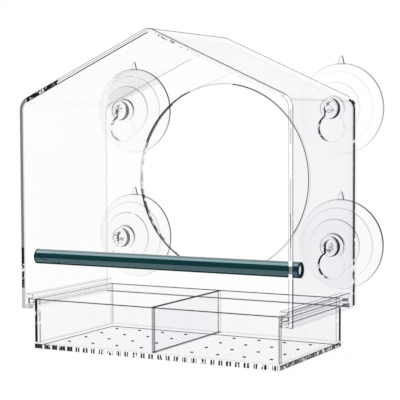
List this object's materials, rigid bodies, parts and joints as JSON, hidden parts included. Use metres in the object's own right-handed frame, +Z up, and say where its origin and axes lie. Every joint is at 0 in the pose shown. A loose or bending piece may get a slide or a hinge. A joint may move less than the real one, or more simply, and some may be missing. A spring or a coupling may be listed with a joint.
{
  "type": "window bird feeder",
  "caption": "Clear gabled feeder house that hangs on a window by suction cups in keyholes, with a slide-out divided seed tray, a perch and a round viewing hole.",
  "frame": {"origin": "on the plane that the tray's floor stands on, in the middle of the whole object's width and depth", "axes": "+X to the right as seen from the open front, +Y from the open front to the window, +Z up"},
  "size_m": [0.2156, 0.1138, 0.2],
  "materials": {
    "clear_acrylic": "polished clear cast sheet with a faint cool tint and darker cut edges",
    "teal_perch": "glossy dark teal",
    "soft_clear_vinyl": "soft clear moulded vinyl"
  },
  "bodies": {
    "house": {"hood": "clear_acrylic", "back_panel": "clear_acrylic", "rail_upper_left": "clear_acrylic", "rail_lower_left": "clear_acrylic", "rail_upper_right": "clear_acrylic", "rail_lower_right": "clear_acrylic"},
    "tray": {"tray_floor": "clear_acrylic", "tray_front_wall": "clear_acrylic", "tray_back_wall": "clear_acrylic", "tray_left_wall": "clear_acrylic", "tray_right_wall": "clear_acrylic", "tray_divider": "clear_acrylic", "tray_runner_left": "clear_acrylic", "tray_runner_right": "clear_acrylic"},
    "perch": {"perch_tube": "teal_perch"},
    "upper_left_cup": {"cup_upper_left": "soft_clear_vinyl"},
    "lower_left_cup": {"cup_lower_left": "soft_clear_vinyl"},
    "upper_right_cup": {"cup_upper_right": "soft_clear_vinyl"},
    "lower_right_cup": {"cup_lower_right": "soft_clear_vinyl"}
  },
  "joints": [
    {"name": "tray_slide", "type": "slide", "parent": "house", "child": "tray", "axis": [0, -1, 0], "range_m": [0, 0.097]},
    {"name": "perch_slide", "type": "slide", "parent": "house", "child": "perch", "axis": [1, 0, 0], "range_m": [0, 0.19]},
    {"name": "upper_left_cup_slide", "type": "slide", "parent": "house", "child": "upper_left_cup", "axis": [0, 0, -1], "range_m": [0, 0.0123]},
    {"name": "lower_left_cup_slide", "type": "slide", "parent": "house", "child": "lower_left_cup", "axis": [0, 0, -1], "range_m": [0, 0.0123]},
    {"name": "upper_right_cup_slide", "type": "slide", "parent": "house", "child": "upper_right_cup", "axis": [0, 0, -1], "range_m": [0, 0.0123]},
    {"name": "lower_right_cup_slide", "type": "slide", "parent": "house", "child": "lower_right_cup", "axis": [0, 0, -1], "range_m": [0, 0.0123]}
  ]
}
